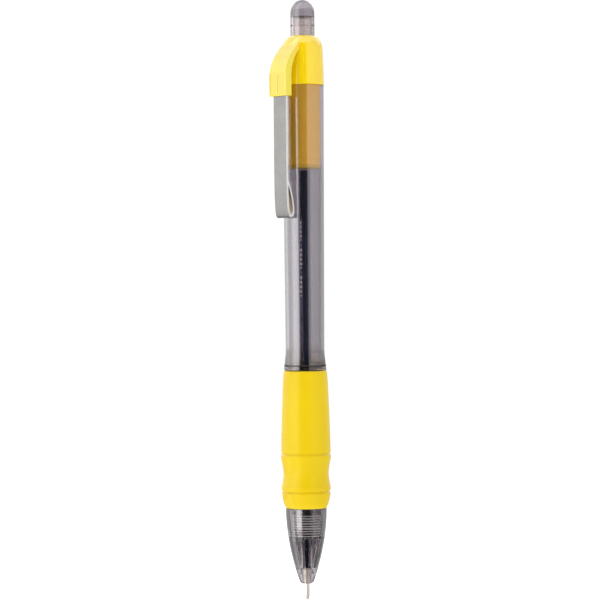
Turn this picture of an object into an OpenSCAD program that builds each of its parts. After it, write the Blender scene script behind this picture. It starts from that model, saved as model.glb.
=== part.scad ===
// Retractable needle-point ballpoint pen with a clear barrel, a rubber grip, a moulded cap and a metal clip.
// Origin at the lowest point of the writing ball, +Z along the pen to the push button, the clip towards -Y.
// Drawn ready to write: the needle stands out of the nose cone. All lengths in millimetres.

/* [Refill] */
// Diameter of the writing ball
ball_d = 0.7; // [0.5:0.1:0.8]
// Outside radius of the needle
needle_r = 0.65; // [0.55:0.01:0.66]
// Outside radius of the refill tube
refill_r = 1.5; // [1.4:0.05:1.55]
// Wall of the refill tube
refill_wall = 0.35; // [0.25:0.05:0.4]
// Height of the ink column's top
ink_top_z = 102.9; // [60:0.1:103]

/* [Nose cone] */
// How far the needle stands out of the nose cone
needle_out = 4.0; // [3.6:0.1:4.4]
// Outside radius of the nose cone at its top
nose_r = 4.9; // [4.8:0.05:5.1]
// Outside radius of the nose cone at its mouth
nose_mouth_r = 1.45; // [1.3:0.05:1.6]
// Number of guide ribs inside the nose cone
nose_ribs = 12; // [6:1:16]

/* [Grip] */
// Largest radius of the grip, on its upper ring
grip_ring_r = 6.02; // [5.9:0.02:6.2]
// Radius of the grip's waist, where the fingers rest
grip_waist_r = 5.43; // [5.2:0.01:5.6]
// Radius at the grip's upper edge
grip_top_r = 5.27; // [5.2:0.01:5.4]

/* [Barrel] */
// Outside radius of the barrel under the cap
barrel_r = 5.0; // [4.95:0.01:5.05]
// Outside radius of the barrel just above its flare
barrel_neck_r = 4.66; // [4.5:0.01:4.75]
// Number of thread turns on the spigot
thread_turns = 6; // [4:1:6]

/* [Cap and button] */
// Outside radius of the cap at its lower edge
cap_r = 5.09; // [5.05:0.01:5.2]
// Outside radius of the push button
button_r = 2.9; // [2.8:0.01:2.92]
// Height of the push button's domed top
pen_len = 143.95; // [142.5:0.05:145]
// Width of the arm that carries the pocket clip
arm_w = 5.47; // [5.1:0.01:6]

/* [Pocket clip] */
// Width of the clip strip
clip_w = 4.32; // [3.8:0.01:4.4]
// Thickness of the clip strip
clip_t = 0.55; // [0.4:0.01:0.6]

/* [Hidden] */
$fn = 96;

// Clearance between pieces that touch but don't move against each other
seat_gap = 0.05;
// Radial clearance of a press or push fit, as drawn
press_gap = 0.02;

// Refill
ball_r = ball_d / 2;
socket_r = ball_r + 0.02;
needle_lip_z = 0.22;
needle_cone_z = 1.1;
needle_top_z = 11;
ink_channel_r = 0.25;
holder_foot_z = 7.7;
holder_foot_r = 0.93;
holder_neck_r = 1.08;
flange_z = 13.4;
flange_r = 1.45;
tube_foot_z = 14.1;
spigot_top_z = 19;
refill_bore_r = refill_r - refill_wall;
refill_top_z = 105.6;
ear_z = 44;
ear_h = 1.6;
ear_span = 4.7;
ear_t = 0.6;

// Nose cone
nose_top_z = 22;
nose_len = nose_top_z - needle_out;
nose_curve = 0.87;
nose_floor_z = 7.6;
nose_seat_z = 15.2;
nose_wall = 1.05;
nose_bore_r = 4;
nose_rib_t = 0.4;
nose_rib_r = 1.75;
well_r = 1.12;
well_z = 6.4;
mouth_bore_r = 0.78;

// Barrel
spigot_foot_z = 15.3;
thread_crest_r = 3.9;
thread_root_r = 3.62;
thread_pitch = 0.75;
grip_seat_r = 4.3;
grip_foot_z = 22.1;
grip_top_z = 54.9;
flare_r = 5.12;
flare_len = 5.2;
barrel_foot_z = grip_top_z + 0.1;
barrel_top_z = 123.35;
barrel_bore_r = 4.2;
barrel_neck_bore_r = 3.87;
bore_step_z = 56.1;
spring_bore_r = 2.8;
spring_seat_z = 26;
seat_ring_h = 1.5;
seat_ring_r = 1.85;
spigot_bore_r = 2.9;
bore_taper_z = 102.5;
bore_shoulder_h = 0.6;
// One turn of the thread as [radius, share of the pitch]
thread_turn = [[thread_root_r, 0.1], [thread_crest_r, 0.3], [thread_crest_r, 0.42], [thread_root_r, 0.62]];

// Grip
belly_r = grip_ring_r - 0.08;
belly_z = 46.5;
groove_z = 35.1;
groove_depth = 0.14;
groove_half_h = 0.1;
ring_z = 34.35;
waist_z = 30.4;
lower_ring_z = 26.8;
lower_ring_r = grip_ring_r - 0.12;
lower_groove_z = 26.05;
lower_groove_r = grip_ring_r - 0.36;
lower_bead_z = 25.55;
lower_bead_r = grip_ring_r - 0.19;
grip_foot_r = 4.8;
grip_edge = 0.15;

// Spring
spring_wire_r = 0.2;
spring_r = 2.12;
spring_turns = 9;
spring_sides = 6;
spring_steps = 20;
spring_coil_gap = 0.06;
spring_foot_z = spring_seat_z + seat_gap + spring_wire_r;
spring_top_z = ear_z - seat_gap - spring_wire_r;

// Cap
cap_foot_z = 123.4;
sleeve_foot_z = 103.5;
sleeve_step_z = 105.8;
sleeve_r = 4.15;
sleeve_lip_r = 4.05;
sleeve_bore_r = 3.4;
cap_bore_r = 2.97;
groove_top_z = 121.35;
spline_r = 2.95;
spline_foot_z = 112.6;
spline_angle = 50;
spline_slant = 20;
cap_shoulder_z = 131.6;
cap_shoulder_r = 4.83;
cap_crown_r = 2.05;
cap_crown_h = 3.6;

// Arm of the cap
arm_reach = 8.71;
arm_back = 6.5;
arm_foot_z = 120.35;
arm_curve_z = 123.5;
arm_curve_h = 9.05;
arm_curve_d = 5.71;
arm_shoulder = [4.16, 133];
arm_tip = [3.6, 133.35];
arm_root = [4.2, 131.3];
arm_root_inside = [3.9, 131.4];
arm_lip_h = 0.5;
arm_lip_d = 0.45;
arm_gap_top_z = 128;
arm_gap_z = 125.6;
pocket_back = 6.85;
pocket_front = 8.06;
pocket_side_gap = 0.08;
pocket_top_z = 125.3;

// Clip
clip_reach = 7.84;
clip_top_z = 125;
clip_bend_z = 103;
clip_foot_z = 91.5;
clip_close_z = 100.3;
clip_loop_reach = 5.3;
clip_knee_reach = 7.46;
clip_knee_h = 1.3;
clip_toe_h = 1.6;
clip_hollow_h = 2.2;

// Push button, plunger and rotor
button_foot_z = 124.5;
button_bore_r = 2.3;
button_roof_z = 139.8;
dome_foot_z = 140.6;
plunger_foot_z = 112.1;
plunger_r = 2.85;
plunger_shoulder_z = 124.45;
plunger_stem_r = button_bore_r - press_gap;
plunger_top_z = 137.7;
plunger_bore_r = 1.8;
plunger_bore_z = 117;
plunger_rib_z = 113.2;
plunger_rib_top_z = 116.1;
rib_r = 3.32;
rib_angle = 28;
rib_count = 4;
teeth = 8;
tooth_depth = 0.75;
rotor_foot_z = 104.2;
rotor_skirt_r = 2.6;
rotor_r = 2.82;
rotor_rib_z = 109;
rotor_rib_top_z = 111.65;
rotor_top_z = 112;
rotor_pin_r = 1.7;
rotor_pin_z = 116;
rotor_cup_r = refill_r + 0.05;
rotor_cup_z = refill_top_z + seat_gap;

// Point on a quadratic curve from a to c that is pulled towards b
function bend(a, b, c, t) = (1 - t) * (1 - t) * a + 2 * t * (1 - t) * b + t * t * c;

// Points along that curve, without its last one
function bend_points(a, b, c, n) = [for (i = [0:n - 1]) bend(a, b, c, i / n)];

// Outside radius of the nose cone at height z
function nose_outer(z) =
    nose_mouth_r + (nose_r - nose_mouth_r) * pow(sin(90 * (z - needle_out) / nose_len), nose_curve);

// Eases from 0 to 1 while t goes from 0 to 1
function ease(t) = (1 - cos(180 * t)) / 2;

// Points of a smooth side between two stations [radius, height], without the last one
function side_points(a, b, n) =
    [for (i = [0:n - 1]) [a[0] + (b[0] - a[0]) * ease(i / n), a[1] + (b[1] - a[1]) * i / n]];

// Height of the spring's wire at a fraction f of its turns; the end turns lie almost flat
function spring_height(f) =
    let (
        flat = 1 / spring_turns,
        lift = 2 * spring_wire_r + spring_coil_gap,
        length = spring_top_z - spring_foot_z
    )
    f < flat ? spring_foot_z + lift * f / flat :
    f > 1 - flat ? spring_top_z - lift * (1 - f) / flat :
    spring_foot_z + lift + (length - 2 * lift) * (f - flat) / (1 - 2 * flat);

// Turns a side view drawn as [distance from the axis towards -Y, height] into a solid of width w across X
module side_extrude(w) {
    rotate([0, 0, -90])
        rotate([90, 0, 0])
            linear_extrude(height = w, center = true)
                children();
}

// One sector of a ring, centred on the angle a
module ring_sector(r_in, r_out, z0, z1, a, width) {
    rotate([0, 0, a - width / 2])
        rotate_extrude(angle = width)
            polygon([[r_in, z0], [r_out, z0], [r_out, z1], [r_in, z1]]);
}

// Notches that leave a crown of teeth on a flat end at height z
module crown_notches(z) {
    notch = tooth_depth * sqrt(2);
    for (i = [0:teeth - 1])
        rotate([0, 0, i * 360 / teeth])
            translate([0, 0, z])
                rotate([45, 0, 0])
                    translate([0, -notch / 2, -notch / 2])
                        cube([6, notch, notch]);
}

module writing_ball() {
    color("silver")
        translate([0, 0, ball_r])
            sphere(r = ball_r);
}

module needle_tip() {
    color([0.82, 0.80, 0.76])
        difference() {
            rotate_extrude()
                polygon([
                    [0, needle_lip_z],
                    [socket_r + 0.06, needle_lip_z],
                    [needle_r, needle_cone_z],
                    [needle_r, needle_top_z],
                    [0, needle_top_z]
                ]);
            translate([0, 0, ball_r])
                sphere(r = socket_r);
            translate([0, 0, ball_r])
                cylinder(r = ink_channel_r, h = needle_top_z);
        }
}

module tip_holder() {
    color([0.12, 0.12, 0.2])
        difference() {
            rotate_extrude()
                polygon([
                    [0, holder_foot_z],
                    [holder_foot_r, holder_foot_z],
                    [holder_neck_r, flange_z],
                    [flange_r, flange_z],
                    [flange_r, tube_foot_z],
                    [refill_bore_r - press_gap, tube_foot_z],
                    [refill_bore_r - press_gap, spigot_top_z],
                    [0, spigot_top_z]
                ]);
            translate([0, 0, holder_foot_z - 1])
                cylinder(r = needle_r + press_gap, h = needle_top_z + press_gap - holder_foot_z + 1);
            translate([0, 0, holder_foot_z])
                cylinder(r = ink_channel_r, h = spigot_top_z);
        }
}

module refill_tube() {
    color([0.85, 0.85, 0.88])
        difference() {
            union() {
                translate([0, 0, tube_foot_z + press_gap])
                    cylinder(r = refill_r, h = refill_top_z - tube_foot_z - press_gap);
                translate([0, 0, ear_z + ear_h / 2])
                    cube([ear_span, ear_t, ear_h], center = true);
            }
            translate([0, 0, tube_foot_z - 1])
                cylinder(r = refill_bore_r, h = refill_top_z);
        }
}

module ink() {
    color([0.07, 0.07, 0.14])
        translate([0, 0, spigot_top_z + seat_gap])
            cylinder(r = refill_bore_r - press_gap, h = ink_top_z - spigot_top_z - seat_gap);
}

module ink_follower() {
    color([0.8, 0.75, 0.6])
        translate([0, 0, ink_top_z + seat_gap])
            cylinder(r = refill_bore_r - press_gap, h = 2);
}

module spring() {
    steps = spring_turns * spring_steps;
    points = [
        for (i = [0:steps])
            for (k = [0:spring_sides - 1])
                let (
                    a = 360 * i / spring_steps,
                    b = 360 * k / spring_sides,
                    r = spring_r + spring_wire_r * cos(b)
                )
                [r * cos(a), r * sin(a), spring_height(i / steps) + spring_wire_r * sin(b)]
    ];
    first = [for (k = [0:spring_sides - 1]) k];
    last = [for (k = [spring_sides - 1:-1:0]) steps * spring_sides + k];
    lower = [
        for (i = [0:steps - 1])
            for (k = [0:spring_sides - 1])
                let (n = (k + 1) % spring_sides)
                [i * spring_sides + k, (i + 1) * spring_sides + k, (i + 1) * spring_sides + n]
    ];
    upper = [
        for (i = [0:steps - 1])
            for (k = [0:spring_sides - 1])
                let (n = (k + 1) % spring_sides)
                [i * spring_sides + k, (i + 1) * spring_sides + n, i * spring_sides + n]
    ];
    color([0.75, 0.75, 0.78])
        polyhedron(points = points, faces = concat([first], [last], lower, upper));
}

module nose_cone() {
    outer = [for (i = [0:24]) let (z = needle_out + nose_len * i / 24) [nose_outer(z), z]];
    cavity = [
        for (i = [0:8])
            let (z = nose_floor_z + (nose_seat_z - nose_floor_z) * i / 8)
            [nose_outer(z) - nose_wall, z]
    ];
    color([0.5, 0.47, 0.5, 0.5])
        difference() {
            rotate_extrude()
                polygon(concat([[0, needle_out]], outer, [[0, nose_top_z]]));
            difference() {
                rotate_extrude()
                    polygon(concat([[0, nose_floor_z]], cavity, [[0, nose_seat_z + 0.5]]));
                for (i = [0:nose_ribs - 1])
                    rotate([0, 0, 360 * i / nose_ribs])
                        translate([nose_rib_r, -nose_rib_t / 2, nose_floor_z - 0.5])
                            cube([4, nose_rib_t, nose_seat_z - nose_floor_z + 0.5]);
            }
            translate([0, 0, nose_seat_z])
                cylinder(r = nose_bore_r, h = nose_top_z);
            translate([0, 0, well_z])
                cylinder(r = well_r, h = nose_floor_z);
            translate([0, 0, -1])
                cylinder(r = mouth_bore_r, h = nose_floor_z);
        }
}

module barrel() {
    thread = [
        for (i = [0:thread_turns - 1])
            for (p = thread_turn)
                [p[0], spigot_foot_z + (i + p[1]) * thread_pitch]
    ];
    flare = side_points([flare_r, barrel_foot_z], [barrel_neck_r, barrel_foot_z + flare_len], 8);
    color([0.55, 0.52, 0.55, 0.45])
        rotate_extrude()
            polygon(concat(
                [[spigot_bore_r, spigot_foot_z], [thread_root_r, spigot_foot_z]],
                thread,
                [[thread_root_r, grip_foot_z - seat_gap], [grip_seat_r, grip_foot_z - seat_gap]],
                [[grip_seat_r, barrel_foot_z]],
                flare,
                [[barrel_neck_r, barrel_foot_z + flare_len], [barrel_r, barrel_top_z]],
                [[barrel_bore_r, barrel_top_z], [barrel_bore_r, bore_taper_z]],
                [[barrel_neck_bore_r, bore_step_z], [spring_bore_r, bore_step_z - bore_shoulder_h]],
                [[spring_bore_r, spring_seat_z], [seat_ring_r, spring_seat_z]],
                [[seat_ring_r, spring_seat_z - seat_ring_h], [spigot_bore_r, spring_seat_z - seat_ring_h]]
            ));
}

module grip() {
    upper = bend_points(
        [grip_top_r, grip_top_z - grip_edge],
        [belly_r - 0.25, belly_z],
        [belly_r, groove_z + 0.45], 8
    );
    groove = [
        [belly_r, groove_z + 0.45],
        [belly_r - groove_depth, groove_z + groove_half_h],
        [belly_r - groove_depth, groove_z - groove_half_h],
        [grip_ring_r - 0.03, ring_z + 0.3]
    ];
    waist_up = side_points([grip_ring_r, ring_z], [grip_waist_r, waist_z], 8);
    waist_down = side_points([grip_waist_r, waist_z], [lower_ring_r, lower_ring_z], 8);
    lower_groove = [
        [lower_ring_r, lower_ring_z],
        [lower_ring_r - 0.04, lower_ring_z - 0.4],
        [lower_groove_r, lower_groove_z + groove_half_h],
        [lower_groove_r, lower_groove_z - groove_half_h]
    ];
    foot = bend_points(
        [lower_bead_r, lower_bead_z],
        [grip_waist_r - 0.02, grip_foot_z + 0.9],
        [grip_foot_r, grip_foot_z], 6
    );
    color("gold")
        rotate_extrude()
            polygon(concat(
                [[grip_seat_r + press_gap, grip_top_z], [grip_top_r - grip_edge, grip_top_z]],
                upper, groove, waist_up, waist_down, lower_groove, foot,
                [[grip_foot_r, grip_foot_z], [grip_seat_r + press_gap, grip_foot_z]]
            ));
}

module cap() {
    crown = [
        for (i = [0:8])
            let (a = i * 84 / 8)
            [
                cap_shoulder_r + cap_crown_r * (cos(a) - 1),
                cap_shoulder_z + cap_crown_h * sin(a)
            ]
    ];
    arm_curve = [
        for (i = [0:10])
            let (a = 4 + i * 5.8)
            [
                arm_reach + arm_curve_d * (cos(a) - 1),
                arm_curve_z + arm_curve_h * sin(a)
            ]
    ];
    arm_inside = bend_points(arm_root, [arm_back - 0.1, arm_gap_top_z], [arm_back, arm_gap_z], 6);
    color("gold")
        difference() {
            union() {
                rotate_extrude()
                    polygon(concat(
                        [[0, sleeve_foot_z], [sleeve_lip_r, sleeve_foot_z], [sleeve_lip_r, sleeve_step_z]],
                        [[sleeve_r, sleeve_step_z], [sleeve_r, cap_foot_z], [cap_r, cap_foot_z]],
                        crown,
                        [[0, cap_shoulder_z + cap_crown_h]]
                    ));
                side_extrude(arm_w)
                    polygon(concat(
                        [[arm_back, arm_foot_z], [arm_reach - arm_lip_d, arm_foot_z]],
                        [[arm_reach - arm_lip_d / 4, arm_foot_z + arm_lip_h / 4]],
                        [[arm_reach, arm_foot_z + arm_lip_h]],
                        arm_curve,
                        [arm_shoulder, arm_tip, arm_root_inside],
                        arm_inside,
                        [[arm_back, arm_gap_z]]
                    ));
            }
            difference() {
                translate([0, 0, sleeve_foot_z - 1])
                    cylinder(r = sleeve_bore_r, h = groove_top_z - sleeve_foot_z + 1);
                difference() {
                    for (i = [0:rib_count - 1])
                        ring_sector(
                            spline_r, sleeve_bore_r + 0.2, spline_foot_z - 1, groove_top_z + 0.2,
                            (i + 0.5) * 360 / rib_count, spline_angle
                        );
                    for (i = [0:rib_count - 1])
                        rotate([0, 0, (i + 0.5) * 360 / rib_count])
                            translate([0, 0, spline_foot_z])
                                rotate([spline_slant, 0, 0])
                                    translate([2, -3, -3])
                                        cube([2.5, 6, 3]);
                }
            }
            translate([0, 0, sleeve_foot_z])
                cylinder(r = cap_bore_r, h = pen_len - sleeve_foot_z);
            translate([-clip_w / 2 - pocket_side_gap, -pocket_front, arm_foot_z - 1])
                cube([
                    clip_w + 2 * pocket_side_gap,
                    pocket_front - pocket_back,
                    pocket_top_z - arm_foot_z + 1
                ]);
        }
}

module pocket_clip() {
    inside = clip_reach - clip_t;
    middle = (clip_knee_reach + clip_loop_reach) / 2;
    knee = [clip_knee_reach, clip_foot_z + clip_knee_h];
    toe_end = [clip_loop_reach, clip_foot_z + clip_toe_h];
    knee_inside = [clip_knee_reach - clip_t, knee[1] + 0.4];
    toe_inside = [clip_loop_reach + clip_t, toe_end[1] + 0.3];
    hollow_top = [inside, clip_close_z - clip_hollow_h];
    front = bend_points([clip_reach, clip_bend_z], [clip_reach - 0.05, clip_bend_z - 6], knee, 6);
    heel = bend_points(knee, [clip_knee_reach - 0.1, clip_foot_z], [middle, clip_foot_z], 5);
    toe = bend_points([middle, clip_foot_z], [clip_loop_reach, clip_foot_z], toe_end, 5);
    leg = bend_points(toe_end, toe_end + [0, 2.8], [inside, clip_close_z], 8);
    hollow_front = bend_points(hollow_top, [inside - 0.05, hollow_top[1] - 2.1], knee_inside, 5);
    hollow_foot = bend_points(knee_inside, [middle, clip_foot_z + clip_t - 0.4], toe_inside, 6);
    hollow_leg = bend_points(toe_inside, toe_inside + [0.05, 2.1], hollow_top, 5);
    color([0.72, 0.71, 0.7])
        side_extrude(clip_w)
            difference() {
                polygon(concat(
                    [[inside, clip_top_z], [clip_reach, clip_top_z]],
                    front, heel, toe, leg,
                    [[inside, clip_close_z]]
                ));
                polygon(concat(hollow_front, hollow_foot, hollow_leg));
            }
}

module push_button() {
    dome_h = pen_len - dome_foot_z;
    dome = [for (i = [0:11]) let (a = i * 90 / 12) [button_r * cos(a), dome_foot_z + dome_h * sin(a)]];
    color([0.62, 0.58, 0.6, 0.7])
        difference() {
            rotate_extrude()
                polygon(concat([[0, button_foot_z], [button_r, button_foot_z]], dome, [[0, pen_len]]));
            translate([0, 0, button_foot_z - 1])
                cylinder(r = button_bore_r, h = button_roof_z - button_foot_z + 1);
        }
}

module plunger() {
    color([0.35, 0.33, 0.35])
        difference() {
            union() {
                translate([0, 0, plunger_foot_z])
                    cylinder(r = plunger_r, h = plunger_shoulder_z - plunger_foot_z);
                translate([0, 0, plunger_shoulder_z - 1])
                    cylinder(r = plunger_stem_r, h = plunger_top_z - plunger_shoulder_z + 1);
                for (i = [0:rib_count - 1])
                    ring_sector(
                        plunger_r - 0.3, rib_r, plunger_rib_z, plunger_rib_top_z,
                        i * 360 / rib_count, rib_angle
                    );
            }
            translate([0, 0, plunger_foot_z - 1])
                cylinder(r = plunger_bore_r, h = plunger_bore_z - plunger_foot_z + 1);
            crown_notches(plunger_foot_z);
        }
}

module rotor() {
    color([0.8, 0.78, 0.72])
        difference() {
            union() {
                translate([0, 0, rotor_foot_z])
                    cylinder(r = rotor_skirt_r, h = rotor_top_z - rotor_foot_z - 1);
                difference() {
                    union() {
                        translate([0, 0, rotor_rib_z])
                            cylinder(r = rotor_r, h = rotor_top_z - rotor_rib_z);
                        for (i = [0:rib_count - 1])
                            ring_sector(
                                rotor_r - 0.3, rib_r, rotor_rib_z, rotor_top_z + 1,
                                i * 360 / rib_count, rib_angle
                            );
                    }
                    for (i = [0:rib_count - 1])
                        rotate([0, 0, i * 360 / rib_count])
                            translate([0, 0, rotor_rib_top_z])
                                rotate([spline_slant, 0, 0])
                                    translate([rotor_r - 0.4, -3, 0])
                                        cube([2, 6, 3]);
                    crown_notches(rotor_top_z);
                }
                translate([0, 0, rotor_top_z - 2])
                    cylinder(r = rotor_pin_r, h = rotor_pin_z - rotor_top_z + 2);
            }
            translate([0, 0, rotor_foot_z - 1])
                cylinder(r = rotor_cup_r, h = rotor_cup_z - rotor_foot_z + 1);
        }
}

writing_ball();
needle_tip();
tip_holder();
refill_tube();
ink();
ink_follower();
spring();
nose_cone();
barrel();
grip();
cap();
pocket_clip();
push_button();
plunger();
rotor();
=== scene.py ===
import math

import bmesh
import bpy
from mathutils import Matrix, Vector


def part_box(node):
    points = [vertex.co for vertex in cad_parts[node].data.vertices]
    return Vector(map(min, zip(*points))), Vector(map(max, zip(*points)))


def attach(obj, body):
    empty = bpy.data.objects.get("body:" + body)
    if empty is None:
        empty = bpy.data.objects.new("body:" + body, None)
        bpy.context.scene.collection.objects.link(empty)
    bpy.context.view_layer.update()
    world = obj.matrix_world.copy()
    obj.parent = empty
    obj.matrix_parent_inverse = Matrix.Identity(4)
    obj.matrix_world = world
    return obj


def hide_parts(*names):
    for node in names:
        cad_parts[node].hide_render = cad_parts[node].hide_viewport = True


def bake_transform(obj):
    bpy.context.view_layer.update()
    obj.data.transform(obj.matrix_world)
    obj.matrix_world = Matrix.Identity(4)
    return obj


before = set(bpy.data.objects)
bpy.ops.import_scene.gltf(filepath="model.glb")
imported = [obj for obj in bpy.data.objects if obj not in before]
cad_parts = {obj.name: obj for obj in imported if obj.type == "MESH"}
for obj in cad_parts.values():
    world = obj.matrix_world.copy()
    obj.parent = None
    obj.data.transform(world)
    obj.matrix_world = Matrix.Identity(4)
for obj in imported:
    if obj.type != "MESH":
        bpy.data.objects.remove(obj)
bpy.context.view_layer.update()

# ---------------------------------------------------------------- sizes, millimetres
MM = 0.001
SEGMENTS = 192
SMALL_SEGMENTS = 64


def box_mm(node):
    """Lowest and highest corner of a CAD node, in millimetres."""
    lo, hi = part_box(node)
    return lo / MM, hi / MM


NOSE_LO, NOSE_HI = box_mm("nose_cone")
BARREL_LO, BARREL_HI = box_mm("barrel")
GRIP_LO, GRIP_HI = box_mm("grip")
CAP_LO, _ = box_mm("cap")
CLIP_LO, CLIP_HI = box_mm("pocket_clip")
BUTTON_LO, BUTTON_HI = box_mm("push_button")
TUBE_LO, TUBE_HI = box_mm("refill_tube")
INK_LO, INK_HI = box_mm("ink")
FOLLOWER_LO, FOLLOWER_HI = box_mm("ink_follower")
HOLDER_LO, HOLDER_HI = box_mm("tip_holder")
NEEDLE_LO, NEEDLE_HI = box_mm("needle_tip")
SPRING_LO, SPRING_HI = box_mm("spring")
BALL_LO, BALL_HI = box_mm("writing_ball")

# heights that both a shape and its material need: the floor of the nose cone's cavity, the end of its ribs,
# the end of the barrel's thread, the foot of the cap's collar, and the top of the panels on its arm's foot
NOSE_FLOOR_Z = 7.6
RIB_END_Z = 15.1
THREAD_END_Z = 20.3
COLLAR_FOOT_Z = 123.4
PANEL_TOP_Z = 126.2


# ---------------------------------------------------------------- profiles
def lerp(a, b, t):
    return a + (b - a) * t


def steps(first, last, count):
    """Even steps from one number to another, both included."""
    return [first + (last - first) * i / count for i in range(count + 1)]


def rounded(corners, arc_steps=4):
    """Polyline through (r, z) or (r, z, fillet) corners, with each fillet drawn as an arc."""
    out = []
    last = len(corners) - 1
    for i, corner in enumerate(corners):
        p = Vector(corner[:2])
        radius = corner[2] if len(corner) > 2 else 0.0
        if radius <= 0 or i in (0, last):
            out.append((p.x, p.y))
            continue
        a = Vector(corners[i - 1][:2]) - p
        b = Vector(corners[i + 1][:2]) - p
        half = a.angle(b) / 2
        reach = min(radius / math.tan(half), a.length * 0.49, b.length * 0.49)
        start = p + a.normalized() * reach
        end = p + b.normalized() * reach
        for t in steps(0.0, 1.0, arc_steps):
            q = start * (1 - t) ** 2 + p * 2 * t * (1 - t) + end * t * t
            out.append((q.x, q.y))
    return out


def spline(stations, per_span=4):
    """Smooth curve through (r, z) stations."""
    pts = [Vector(s) for s in stations]
    out = []
    for i in range(len(pts) - 1):
        before = pts[max(i - 1, 0)]
        here, ahead = pts[i], pts[i + 1]
        after = pts[min(i + 2, len(pts) - 1)]
        length = (ahead - here).length
        slope_here = (ahead - before) * (length / (ahead - before).length)
        slope_ahead = (after - here) * (length / (after - here).length)
        for k in range(per_span):
            t = k / per_span
            q = here * (2 * t**3 - 3 * t**2 + 1) + slope_here * (t**3 - 2 * t**2 + t)
            q += ahead * (3 * t**2 - 2 * t**3) + slope_ahead * (t**3 - t**2)
            out.append((q.x, q.y))
    out.append(tuple(pts[-1]))
    return out


# ---------------------------------------------------------------- meshes
def mesh_object(name, bm):
    """New object from a bmesh, with its faces turned outwards."""
    bmesh.ops.recalc_face_normals(bm, faces=bm.faces)
    mesh = bpy.data.meshes.new(name)
    bm.to_mesh(mesh)
    bm.free()
    obj = bpy.data.objects.new(name, mesh)
    bpy.context.scene.collection.objects.link(obj)
    return obj


def apply_modifiers(obj):
    dg = bpy.context.evaluated_depsgraph_get()
    mesh = bpy.data.meshes.new_from_object(obj.evaluated_get(dg), depsgraph=dg)
    obj.modifiers.clear()
    old = obj.data
    obj.data = mesh
    mesh.name = obj.name
    bpy.data.meshes.remove(old)


def finish_mesh(obj, body, node, material, smooth=35.0, flat=False):
    """Shades a new piece, gives it its material, lets it stand for its CAD node and ties it to its body.
    Edges sharper than the smooth angle stay crisp. Flat keeps large flat faces even next to their bevels.
    A piece without a body is not tied to one."""
    mesh = obj.data
    mesh.validate()
    for poly in mesh.polygons:
        poly.use_smooth = True
    mesh.set_sharp_from_angle(angle=math.radians(smooth))
    if flat:
        mod = obj.modifiers.new("flat", "WEIGHTED_NORMAL")
        mod.keep_sharp = True
        mod.weight = 100
        apply_modifiers(obj)
    obj.data.materials.clear()
    obj.data.materials.append(material)
    if body:
        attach(obj, body)
    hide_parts(node)


def lathe(name, profile, segments=SEGMENTS, reshape=None):
    """Solid of revolution from a closed profile of (r, z) in millimetres. A point on the axis becomes a
    pole, and reshape(r, z, angle) may change the radius."""
    on_axis = 1e-6
    bm = bmesh.new()
    rings = []
    for r, z in profile:
        if r < on_axis:
            rings.append([bm.verts.new((0, 0, z * MM))])
            continue
        ring = []
        for k in range(segments):
            a = 2 * math.pi * k / segments
            reach = reshape(r, z, a) if reshape else r
            ring.append(bm.verts.new((reach * math.cos(a) * MM, reach * math.sin(a) * MM, z * MM)))
        rings.append(ring)
    for a, b in zip(rings, rings[1:] + rings[:1]):
        if len(a) == 1 and len(b) == 1:
            continue
        for k in range(segments):
            n = (k + 1) % segments
            if len(a) == 1:
                bm.faces.new((a[0], b[k], b[n]))
            elif len(b) == 1:
                bm.faces.new((a[k], b[0], a[n]))
            else:
                bm.faces.new((a[k], b[k], b[n], a[n]))
    return mesh_object(name, bm)


def side_solid(name, outline, width, hole=None):
    """Solid across X from a side view of (distance towards -Y, z) points, with an optional hole."""
    bm = bmesh.new()
    half = width / 2 * MM
    sides = []
    for x in (-half, half):
        loops = []
        edges = []
        for points in (outline, hole):
            if points:
                loop = [bm.verts.new((x, -d * MM, z * MM)) for d, z in points]
                edges += [bm.edges.new((loop[i], loop[(i + 1) % len(loop)])) for i in range(len(loop))]
                loops.append(loop)
        if hole:
            bmesh.ops.triangle_fill(bm, use_beauty=True, use_dissolve=False, edges=edges)
        else:
            bm.faces.new(loops[0])
        sides.append(loops)
    for a, b in zip(*sides):
        for i in range(len(a)):
            j = (i + 1) % len(a)
            bm.faces.new((a[i], a[j], b[j], b[i]))
    return mesh_object(name, bm)


def tube_along(name, points, radius, sides=12):
    """Round wire along a list of points in millimetres, with closed ends."""
    bm = bmesh.new()
    rings = []
    last = len(points) - 1
    for i, p in enumerate(points):
        ahead = points[min(i + 1, last)] - points[max(i - 1, 0)]
        ahead.normalize()
        out = Vector((p.x, p.y, 0)).normalized()
        up = ahead.cross(out).normalized()
        out = up.cross(ahead).normalized()
        ring = []
        for k in range(sides):
            a = 2 * math.pi * k / sides
            q = p + out * radius * math.cos(a) + up * radius * math.sin(a)
            ring.append(bm.verts.new(q * MM))
        rings.append(ring)
    for a, b in zip(rings, rings[1:]):
        for k in range(sides):
            n = (k + 1) % sides
            bm.faces.new((a[k], a[n], b[n], b[k]))
    bm.faces.new(list(reversed(rings[0])))
    bm.faces.new(rings[-1])
    return mesh_object(name, bm)


def bevel_edges(obj, width, angle):
    """Rounds every edge sharper than the angle."""
    mod = obj.modifiers.new("bevel", "BEVEL")
    mod.width = width * MM
    mod.segments = 3
    mod.limit_method = "ANGLE"
    mod.angle_limit = math.radians(angle)
    mod.miter_outer = "MITER_ARC"
    apply_modifiers(obj)


def combine(obj, other, operation):
    """Joins another object to this one, or cuts it away."""
    mod = obj.modifiers.new("combine", "BOOLEAN")
    mod.operation = operation
    mod.solver = "EXACT"
    mod.object = other
    apply_modifiers(obj)
    bpy.data.objects.remove(other, do_unlink=True)


# ---------------------------------------------------------------- node trees
WHITE = (1.0, 1.0, 1.0, 1.0)


def srgb(r, g, b):
    """Linear colour from 0-255 values."""
    def channel(v):
        v = v / 255
        return v / 12.92 if v <= 0.04045 else ((v + 0.055) / 1.055) ** 2.4
    return (channel(r), channel(g), channel(b), 1.0)


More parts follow.
